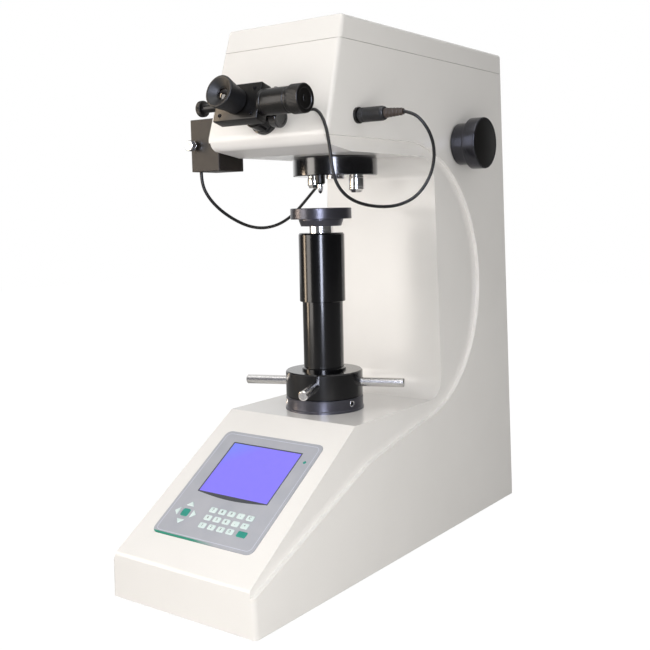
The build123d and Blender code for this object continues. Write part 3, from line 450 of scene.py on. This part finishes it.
# ---- eyepiece and micrometer --------------------------------------------------------------------
lathe("flange_ring", [(15.05, -9.5), (17.4, -9.5), (17.4, 0), (18.6, 0), (18.6, 5), (16.8, 5.8), (16.8, 18.9),
                      (16.2, 19.5), (15.05, 19.5)], ON_EYE, "root", "black_gloss", "eyepiece_flange", 0.6, 96)
slab("micrometer_block", (-31, -20.5, 35.0), (31, 20.5, 51.4), ON_EYE, "micrometer", "black_satin",
     "micrometer_body", 1.6)
lathe("micrometer_tube", [(10, -8), (15, -8), (15, 35.5), (10, 35.5)], ON_EYE, "micrometer", "black_satin")
lathe("micrometer_boss", [(10, 51), (12, 51), (12, 56.4), (10, 56.4)], ON_EYE, "micrometer", "black_satin")
for number, (x, v) in enumerate(((-22.0, 14.0), (22.0, 14.0), (-22.0, -14.0), (22.0, -14.0))):
    place = ON_EYE @ Matrix.Translation(Vector((x, v, 51.4)) * MM)
    lathe(f"block_screw_{number}", [(0, -1), (2.2, -1), (2.2, 0.5), (1.9, 0.8), (1.1, 0.8), (1.1, 0.1), (0, 0.1)],
          place, "micrometer", "screw_black", None, 0.2, 24)
lathe("encoder_barrel", [(4.05, 31), (14, 31), (14, 34.5), (13.5, 35), (13.5, 36), (14, 36.5), (14, 65.5), (13.4, 66),
                         (13.4, 67), (14, 67.5), (14, 69.7), (4.05, 69.7)], ON_DRUM, "micrometer", "black_satin",
      "encoder_sleeve", 0.35, 96)
gland = frame_at(ON_EYE @ (Vector((56, 0, DRUM_S)) * MM), SIDE, -EYE_UP, -EYE_OUT)
lathe("encoder_gland", [(0, 11), (3.6, 11), (3.6, 15), (2.8, 15.6), (2.8, 16.4), (3.1, 16.8), (2.6, 17.4), (3.0, 18),
                        (2.4, 18.8), (2.6, 20), (0, 20)], gland, "micrometer", "rubber", None, 0.25, 32)
for number, (x, r) in enumerate(((37.5, 2.6), (45.5, 3.4))):
    place = frame_at(ON_EYE @ (Vector((x, 12.8, DRUM_S)) * MM), SIDE, -EYE_OUT, EYE_UP)
    lathe(f"sleeve_screw_{number}", [(0, -1), (r, -1), (r, 1.6), (r - 0.4, 2.2), (1.4, 2.2), (1.4, 1.0), (0, 1.0)],
          place, "micrometer", "screw_black", None, 0.25, 28)
lathe("drum_grip", [(0, 36), (4, 36), (4, 70), (13.9, 70), (15.4, 71.2), (15.4, 74), (15.4, 77), (15.4, 80),
                    (15.4, 83), (15.4, 85.4), (14.4, 86.4), (11.2, 86.4), (10.4, 85.2), (3.2, 85.0), (3.0, 86.0),
                    (0, 86.0)], ON_DRUM, "drum", "black_satin", "measuring_drum", 0.4, grip=(71.4, 85.2, 72, 0.2))
lathe("index_grip", [(0, -21), (4, -21), (4, -31.3), (4.8, -31.3), (4.8, -54), (8.3, -54.5), (9.05, -55.2),
                     (9.05, -57.5), (9.05, -59.9), (7.95, -61.2), (5.5, -61.7), (0, -61.7)], ON_DRUM, "index",
      "black_satin", "index_knob", 0.5, grip=(-60.2, -55.0, 36, 0.35))
lathe("eyecup_rim", [(12.3, 52.4), (14.2, 52.4), (14.2, 56.7), (14.8, 62.7), (17.8, 79.4), (17.8, 81.1), (17.0, 81.9),
                     (15.4, 81.9), (7.0, 75.4), (7.0, 56.7), (12.3, 56.7)],
      ON_EYE, "eyecup", "rubber", "eyecup", 0.8, 96)
lathe("eye_lens_dome", [(0, 71.4), (6.9, 71.4), (6.9, 73.2), (6.2, 73.8), (5.0, 74.3), (3.4, 74.65), (1.7, 74.85),
                        (0, 74.9)], ON_EYE, "eyecup", "lens_glass", "eye_lens", 0.3, 64)
lathe("eye_lens_ring", [(6.1, 73.6), (6.95, 73.6), (6.95, 74.8), (6.5, 75.1), (6.1, 74.7)], ON_EYE, "eyecup",
      "black_gloss", None, 0.2, 64)
lathe("clamp_grip", [(0, 15.6), (3, 15.6), (3, 21.5), (9.9, 21.5), (10.8, 22.4), (10.8, 24), (10.8, 27), (10.8, 30),
                     (10.8, 31.1), (9.9, 32), (7.2, 32), (6.6, 31.4), (0, 31.4)], ON_CLAMP, "clamp", "black_gloss",
      "clamp_screw", 0.5, grip=(22.6, 30.9, 48, 0.2), material=POLISHED)
lathe("lamp_grip", [(0, -8), (2.5, -8), (2.5, 3), (5.6, 3), (6.4, 3.8), (6.4, 5), (6.4, 7), (6.4, 9), (6.4, 10.2),
                    (5.6, 11), (3.4, 11), (3.0, 10.6), (0, 10.6)], ON_LAMP_SCREW, "lamp_clamp", "chrome",
      "lamp_screw", 0.35, grip=(3.9, 10.1, 30, 0.4))


# ---- rims of the collar's set screws ------------------------------------------------------------
for number, angle in enumerate((-10.0, 110.0, 230.0)):
    turn = math.radians(angle)
    outwards = Vector((math.cos(turn), math.sin(turn), 0))
    place = frame_at(Vector((0, 0, 187.0)) * MM, UP.cross(outwards), UP, outwards)
    lathe(f"set_screw_rim_{number}", [(2.75, 46.2), (3.6, 46.2), (3.6, 47.6), (3.2, 47.9), (2.75, 47.6)],
          place, "root", "chrome", None, 0.15, 32)


# ---- load knob ----------------------------------------------------------------------------------
TURNED_ALLOY = metal("blacked_turned_alloy", "57575c", "3c3c40", 0.27, 1.5, 0.004, (14, 1, 1))
lathe("load_grip", [(0, 0), (26.6, 0), (26.6, 15), (27.2, 17), (32.4, 19), (32.4, 35.6), (31.7, 36.2), (30.5, 36.2),
                    (30.1, 35.7), (0, 35.7)], ON_KNOB, "selector", "black_gloss", "load_knob", 0.8, 96,
      material=TURNED_ALLOY)
lathe("load_grip_face", [(0, 35.6), (30.0, 35.6), (30.0, 35.9), (0, 35.9)], ON_KNOB, "selector", "black_satin", None,
      0.1, 96)


# ---- objectives ---------------------------------------------------------------------------------
STATION = 31.4           # from the turret's axis to each of its three stations
top = 460.0              # underside of the turret
for number, (x, bottom, nose) in enumerate(((STATION, 439.5, 6.2), (-STATION, 446.5, 7.0))):
    place = Matrix.Translation(Vector((x, STATION, 0)) * MM)
    lathe(f"objective_{number}", [(0, bottom + 0.8), (3.6, bottom + 0.8), (4.2, bottom), (nose, bottom),
                                  (nose + 1.2, bottom + 2.5), (9.4, bottom + 4), (9.4, bottom + 5.4),
                                  (9.0, bottom + 5.6), (9.0, bottom + 6.2), (9.4, bottom + 6.4), (9.4, top - 3.4),
                                  (9.0, top - 3.2), (9.0, top - 2.8), (9.4, top - 2.6), (9.4, top - 2.2),
                                  (8.6, top - 1.4), (8.6, top), (0, top)],
          place, "turret", "chrome", "objectives" if number == 0 else None, 0.25, 64)


# ---- indenter and the spring that its head presses flat -----------------------------------------
coil = lathe("indenter_coil", [(7, 476.5), (11, 476.5), (11, 478.1), (7, 478.1)], Matrix.Identity(4), "turret",
             "chrome", "indenter_spring", 0.4, 48)
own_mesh(coil)
lathe("indenter_point", [(0, 439), (0.4, 439), (1.9, 440.2), (2.9, 442.5), (3.5, 446), (3.7, 450), (0, 450)],
      Matrix.Identity(4), "indenter", "diamond_holder", "indenter_tip", 0.4, 48)


# ---- plugs --------------------------------------------------------------------------------------
TAIL = plastic("moulded_brown_rubber", "4a3f39", "3c332e", 0.5, 0.8, 0.008)
SOCKET_STAND = 3         # a socket stands this far out of the body's side


def make_plug(name, side, y, z, node):
    """A round plug: knurled ring, smooth shell and a ribbed strain relief."""
    place = frame_at(Vector((0, y, z)) * MM, AHEAD * side, UP, SIDE * side)
    face = HALF_FOOT - DRAW_IN * z / BODY_HEIGHT + SOCKET_STAND
    ring = lathe(f"{name}_ring", [(0, face), (7.0, face), (7.0, face + 1.2), (8.1, face + 2), (8.1, face + 4),
                                  (8.1, face + 6), (8.1, face + 7.4), (7.4, face + 8), (0, face + 8)],
                 place, "root", "plug_plastic", None, 0.3, grip=(face + 2.1, face + 7.3, 32, 0.35))
    shell = lathe(f"{name}_shell", [(0, face + 7.5), (7.7, face + 7.5), (8.1, face + 8.4), (8.1, 119), (7.2, 122),
                                    (6.0, 123), (0, 123)], place, "root", "plug_plastic", node, 0.6, 64)
    ribs = [(0, 122.5), (5.4, 122.5)]
    for k in range(5):
        x = 124.0 + k * 4.2
        r = 5.3 - k * 0.3
        ribs += [(r, x), (r, x + 2.4), (r - 0.8, x + 2.8), (r - 0.8, x + 3.8)]
    ribs += [(3.4, 145.6), (0, 145.6)]
    tail = lathe(f"{name}_tail", ribs, place, "root", "plug_plastic", None, 0.3, 48, None, TAIL)
    return [ring, shell, tail]


EYEPIECE_PLUG = make_plug("eyepiece_plug", 1, -45.0, 522.0, "eyepiece_plug")
LAMP_PLUG = make_plug("lamp_plug", -1, 215.0, 540.0, "lamp_plug")


# ---- keypad -------------------------------------------------------------------------------------
FIRST_KEY = (-11.0, 81.0)          # upper left number key, from the slope's lower edge
KEY_PITCH, ROW_PITCH = 13.2, 10.8
PAD = (-45.0, 70.3)                # middle of the four arrow keys
KEYS = [(FIRST_KEY[0] + KEY_PITCH * column, FIRST_KEY[1] - ROW_PITCH * row)
        for row in range(3) for column in range(5 if row < 2 else 4)]
domes("number_domes", [rounded_box(x, y, 9.6, 7.0, 1.5) for x, y in KEYS], "root", "key_plastic", "number_keys")
domes("enter_domes", [rounded_box(45.0, 59.4, 12.6, 7.6, 1.5), rounded_box(*PAD, 10.4, 10.4, 2.6)], "root",
      "key_teal", "enter_keys")
ARROW = ((-5.2, 9.7), (-4.6, 9.5), (4.6, 9.5), (5.2, 9.7), (0.5, 15.2), (-0.5, 15.2))
arrows = []
for quarter in range(4):
    turn = math.pi / 2 * quarter
    arrows.append([(PAD[0] + x * math.cos(turn) - y * math.sin(turn), PAD[1] + x * math.sin(turn) + y * math.cos(turn))
                   for x, y in ARROW])
domes("arrow_domes", arrows, "root", "key_plastic", "arrow_keys")
FIGURES = ["7", "8", "9", "-", "C", "4", "5", "6", ".", "+", "1", "2", "3", "0"]
ON_KEYS = ON_SLOPE @ Matrix.Translation((0, 0, 1.41 * MM))
marks("key_figures", [(figure, x, y, 3.4) for figure, (x, y) in zip(FIGURES, KEYS)], ON_KEYS, "root",
      "key_plastic", INK_AND_SHADE)
for edge, low, high in (("left", (-51.0, 101.6), (-49.6, 179.4)), ("right", (49.6, 101.6), (51.0, 179.4)),
                        ("low", (-51.0, 101.6), (51.0, 103.0)), ("high", (-51.0, 178.0), (51.0, 179.4))):
    slab(f"display_frame_{edge}", (*low, 0.3), (*high, 0.7), ON_SLOPE, "root", "bezel_plastic", None, 0.15, INK_AND_SHADE)


def flat_ring(name, outside, inside, height, slot, material):
    """A thin band lying on the panel between two outlines with the same number of points, used below for a painted
    highlight and a painted shadow.
    """
    bm = bmesh.new()
    loops = [[bm.verts.new((x * MM, y * MM, h * MM)) for x, y in outline]
             for outline, h in ((outside, 0.5), (outside, height), (inside, height), (inside, 0.5))]
    for one, two in zip(loops, loops[1:] + loops[:1]):
        for k in range(len(one)):
            n = (k + 1) % len(one)
            bm.faces.new((one[k], one[n], two[n], two[k]))
    return finish_mesh(bm, name, ON_SLOPE, "root", slot, None, material)


# The pale band round the panel is a painted highlight: the light that the bezel's raised rim catches.
RIM_HIGHLIGHT = plastic("painted_rim_highlight", "cfd3df", "c5c9d6", 0.4, 0.5, 0.001)
flat_ring("panel_rim_highlight", rounded_box(0, 116.5, 137.0, 150.0, 6.0), rounded_box(0, 116.5, 135.6, 148.6, 5.4), 0.66,
          "bezel_plastic", RIM_HIGHLIGHT)
# A dark crescent under the display window's lower edge, in the ink finish: a painted shadow.
shadow_crescent = [(-50.0 + 100.0 * k / 12, 101.6 - 4.2 * math.sin(math.pi * k / 12)) for k in range(13)]
flat_ring("window_painted_shadow", shadow_crescent, [(x, 101.7) for x, _ in shadow_crescent], 0.64, "bezel_plastic", INK_AND_SHADE)
on_led = ON_SLOPE @ Matrix.Translation(Vector((60.5, 167.0, 0)) * MM)
lathe("power_lamp", [(0, 0.4), (2.0, 0.4), (2.0, 0.8), (1.2, 1.2), (0, 1.3)], on_led, "root", "key_teal", None,
      0.3, 32)
ON_ROCKER = ON_BACK @ Matrix.Translation(Vector((-45.0, 62.0, 2.05)) * MM)
marks("switch_marks", [("I", 0, 13.6, 1.6), ("O", 0, -13.6, 1.6)], ON_ROCKER, "root", "plug_plastic",
      FINISH["key_plastic"])


# ---- cords, each from its gland to its plug -----------------------------------------------------
EYEPIECE_ROUTE = [
    (56.0, -120.25, 527.43), (56.0, -110.7, 524.47), (62.0, -103.8, 525.5), (70.0, -102.5, 526.5),
    (77.5, -103.5, 521.5), (84.0, -106.0, 514.0), (91.5, -111.0, 503.0), (98.0, -116.5, 489.5),
    (102.5, -120.0, 476.5), (105.0, -121.0, 461.0), (107.0, -117.0, 446.0), (110.7, -108.0, 434.5),
    (115.5, -95.0, 427.0), (121.0, -80.0, 423.0), (128.0, -64.0, 421.0), (138.0, -47.0, 422.0),
    (150.5, -33.0, 429.5), (159.5, -24.0, 443.0), (167.0, -20.5, 460.5), (172.0, -25.0, 480.0),
    (172.5, -34.0, 497.0), (166.5, -42.0, 511.5), (157.0, -45.0, 519.5), (146.0, -45.0, 522.0),
]
LAMP_ROUTE = [
    (-126.0, -73.0, 468.0), (-126.0, -73.0, 453.5), (-122.0, -65.5, 436.5), (-117.0, -51.0, 421.5),
    (-113.5, -29.0, 409.0), (-111.0, -4.0, 400.0), (-109.5, 24.0, 397.0), (-108.0, 54.0, 401.5),
    (-106.0, 81.0, 413.5), (-105.5, 103.0, 428.5), (-106.0, 121.0, 441.0), (-107.5, 138.0, 451.5),
    (-111.0, 156.0, 463.0), (-119.0, 173.0, 475.0), (-131.0, 188.0, 486.0), (-147.0, 200.0, 496.0),
    (-161.0, 208.5, 508.5), (-168.5, 213.0, 523.0), (-160.5, 215.0, 536.5), (-146.0, 215.0, 540.0),
]


def make_cord(name, route, diameter, node, swivels=False):
    """A round flexible lead on one smooth line; one that swivels is turned into a mesh with its placing baked in."""
    data = bpy.data.curves.new(name, "CURVE")
    data.dimensions = "3D"
    line = data.splines.new("NURBS")
    line.points.add(len(route) - 1)
    for point, place in zip(line.points, route):
        point.co = [c * MM for c in place] + [1.0]
    line.order_u = 3
    line.use_endpoint_u = True
    line.resolution_u = 10
    data.materials.append(FINISH["rubber"])
    cord = bpy.data.objects.new(f"{name}_line" if swivels else name, data)
    if swivels:
        centre = bpy.data.meshes.new_from_object(cord)
    data.bevel_depth = diameter / 2
    data.bevel_resolution = 5
    data.use_fill_caps = True
    if swivels:
        cord = bpy.data.objects.new(name, bpy.data.meshes.new_from_object(cord))
        cord.data.shade_smooth()
        bpy.context.scene.collection.objects.link(cord)
        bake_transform(cord)
    else:
        bpy.context.scene.collection.objects.link(cord)
        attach(cord, "root")
    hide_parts(node)


make_cord("eyepiece_lead", EYEPIECE_ROUTE, 0.0035, "eyepiece_cord", True)
make_cord("lamp_lead", LAMP_ROUTE, 0.004, "lamp_cord")


# ---- studio -------------------------------------------------------------------------------------
def make_world():
    """An even room: white to the eye and in gloss behind the object, dim where the studio is dark."""
    world = bpy.data.worlds.new("studio")
    world.use_nodes = True
    tree = world.node_tree
    tree.nodes.clear()
    path = add(tree, "ShaderNodeLightPath")
    seen = add(tree, "ShaderNodeBackground", inputs={"Color": (1, 1, 1, 1), "Strength": 1.0})
    fill = add(tree, "ShaderNodeBackground", inputs={"Color": (1, 0.995, 0.985, 1), "Strength": 0.43})
    ray = add(tree, "ShaderNodeTexCoord").outputs["Generated"]
    axes = add(tree, "ShaderNodeSeparateXYZ", inputs={0: ray})
    behind = add(tree, "ShaderNodeVectorMath", {"operation": "DOT_PRODUCT"}, {0: ray, 1: (-0.59, 0.807, 0)})
    shade = add(tree, "ShaderNodeMapRange",
                inputs={"Value": behind.outputs["Value"], "From Min": 0.55, "From Max": 0.85,
                        "To Min": 0.06, "To Max": 1.0})
    above = add(tree, "ShaderNodeMapRange",
                inputs={"Value": axes.outputs[2], "From Min": 0.5, "From Max": 0.85, "To Min": 0.05, "To Max": 0.9})
    shade = add(tree, "ShaderNodeMath", {"operation": "MAXIMUM"}, {0: shade.outputs[0], 1: above.outputs[0]})
    mirror = add(tree, "ShaderNodeBackground", inputs={"Color": (1, 1, 1, 1), "Strength": shade.outputs[0]})
    first = add(tree, "ShaderNodeMixShader",
                inputs={0: path.outputs["Is Glossy Ray"], 1: fill.outputs[0], 2: mirror.outputs[0]})
    direct = add(tree, "ShaderNodeMath", {"operation": "MAXIMUM"},
                 {0: path.outputs["Is Camera Ray"], 1: path.outputs["Is Transmission Ray"]})
    both = add(tree, "ShaderNodeMixShader", inputs={0: direct.outputs[0], 1: first.outputs[0], 2: seen.outputs[0]})
    add(tree, "ShaderNodeOutputWorld", inputs={"Surface": both.outputs[0]})
    bpy.context.scene.world = world


def make_floor():
    """A wide white floor that keeps a soft shadow under the object."""
    mesh = bpy.data.meshes.new("floor")
    reach = 4.0
    mesh.from_pydata([(-reach, -reach, 0), (reach, -reach, 0), (reach, reach, 0), (-reach, reach, 0)], [],
                     [(0, 1, 2, 3)])
    floor = bpy.data.objects.new("floor", mesh)
    bpy.context.scene.collection.objects.link(floor)
    material = bpy.data.materials.new("white_floor")
    material.use_nodes = True
    tree = material.node_tree
    tree.nodes.clear()
    path = add(tree, "ShaderNodeLightPath")
    matt = add(tree, "ShaderNodeBsdfDiffuse", inputs={"Color": (0.5, 0.495, 0.49, 1)})
    glow = add(tree, "ShaderNodeEmission", inputs={"Color": (1, 1, 1, 1), "Strength": 1.1})
    share = add(tree, "ShaderNodeMath", {"operation": "MULTIPLY"}, {0: path.outputs["Is Camera Ray"], 1: 0.9})
    mixed = add(tree, "ShaderNodeMixShader", inputs={0: share.outputs[0], 1: matt.outputs[0], 2: glow.outputs[0]})
    add(tree, "ShaderNodeOutputMaterial", inputs={"Surface": mixed.outputs[0]})
    mesh.materials.append(material)


def make_light(name, place, target, width, height, power, colour="ffffff", seen_by="both"):
    """A rectangular softbox that faces a point, seen by matt surfaces, by gloss, or by both."""
    data = bpy.data.lights.new(name, "AREA")
    data.shape = "RECTANGLE"
    data.size, data.size_y = width, height
    data.energy = power
    data.color = linear(colour)[:3]
    light = bpy.data.objects.new(name, data)
    light.visible_diffuse = seen_by != "gloss"
    light.visible_glossy = seen_by != "matt"
    light.location = place
    light.rotation_mode = "QUATERNION"
    light.rotation_quaternion = (Vector(target) - Vector(place)).to_track_quat("-Z", "Y")
    bpy.context.scene.collection.objects.link(light)


make_world()
make_floor()
make_light("softbox_front", (-1.1, -1.7, 0.75), (0, 0, 0.35), 0.8, 1.5, 18.5, "fff9f3")
make_light("softbox_left", (-1.37, -0.84, 0.7), (0, 0, 0.35), 0.3, 1.3, 14.0, "ffe6c8", "gloss")
make_light("softbox_strip", (0.85, -1.3, 0.75), (0, 0, 0.35), 0.3, 1.3, 34.0, "e4eaff", "gloss")
make_light("softbox_side", (0.8, -0.75, 0.3), (0.1, -0.05, 0.3), 0.6, 0.6, 5.5, "fffdfa", "matt")
make_light("softbox_top", (0.1, -0.5, 2.2), (0, 0, 0.3), 1.0, 1.0, 8.0)

bpy.context.scene.view_settings.view_transform = "Standard"
